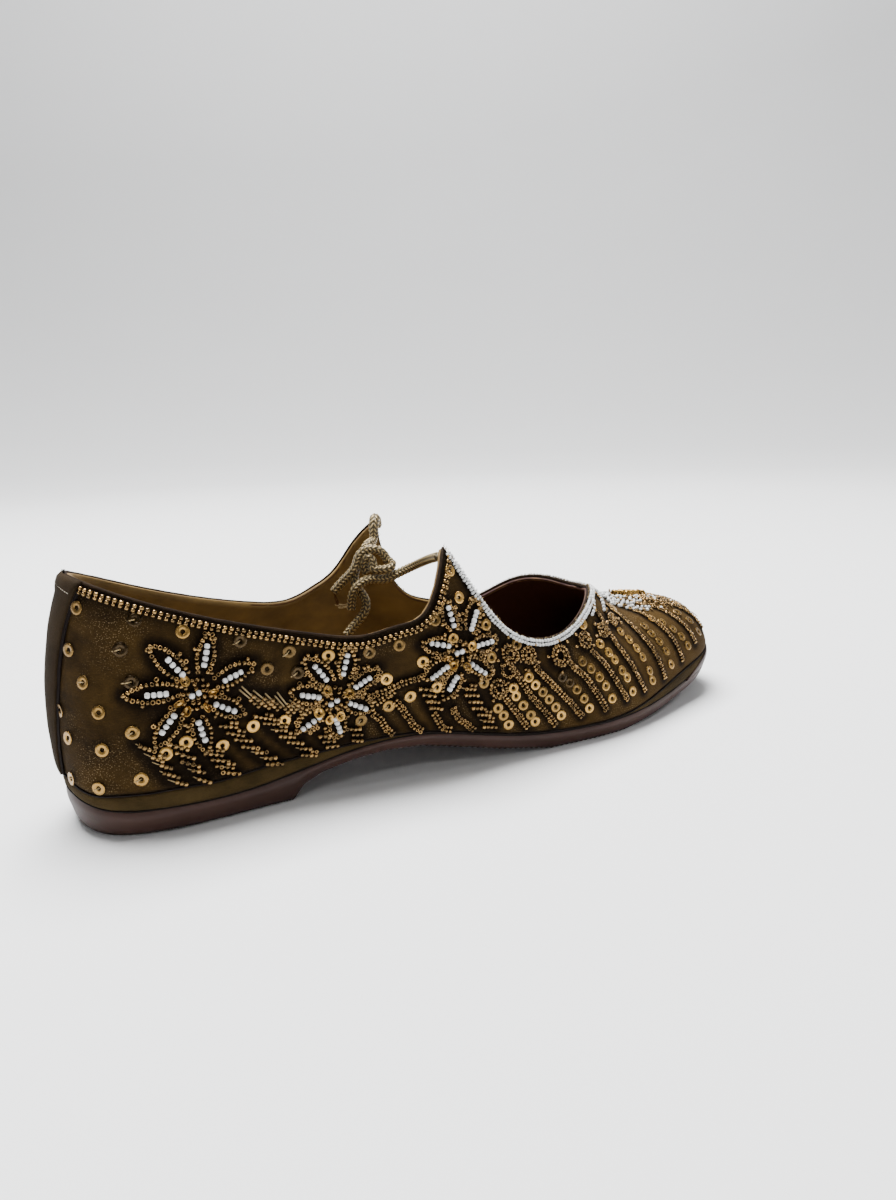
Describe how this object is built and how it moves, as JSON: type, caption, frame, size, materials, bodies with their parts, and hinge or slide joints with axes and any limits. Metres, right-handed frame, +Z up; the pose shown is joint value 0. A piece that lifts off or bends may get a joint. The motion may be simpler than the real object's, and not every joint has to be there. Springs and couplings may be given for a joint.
{
  "type": "embroidered flat bridal shoe",
  "caption": "Flat slip-on bridal shoe of napped cloth with high side wings tied over the instep by a cord, a deep round throat, a low breasted heel and an upturned toe.",
  "frame": {"origin": "on the floor, under the middle of the shoe's length and width", "axes": "+X from heel to toe, +Y to the left of someone facing the toe, +Z up from the floor"},
  "size_m": [0.2513, 0.0784, 0.077],
  "materials": {
    "outsole_rubber": "moulded, satin",
    "lining_leather": "smooth tan lining",
    "rand_cloth": "olive cloth band",
    "upper_cloth": "napped bronze-olive cloth, beaded and sequinned",
    "gold_cord": "braided metallic thread"
  },
  "bodies": {
    "root": {"outsole": "outsole_rubber", "insole": "lining_leather", "rand": "rand_cloth", "upper": "upper_cloth", "back_stay": "upper_cloth", "tie_strand_right": "gold_cord", "tie_strand_left": "gold_cord", "tie_knot": "gold_cord", "tie_loop": "gold_cord", "tie_end_back": "gold_cord", "tie_end_down": "gold_cord"}
  },
  "joints": []
}
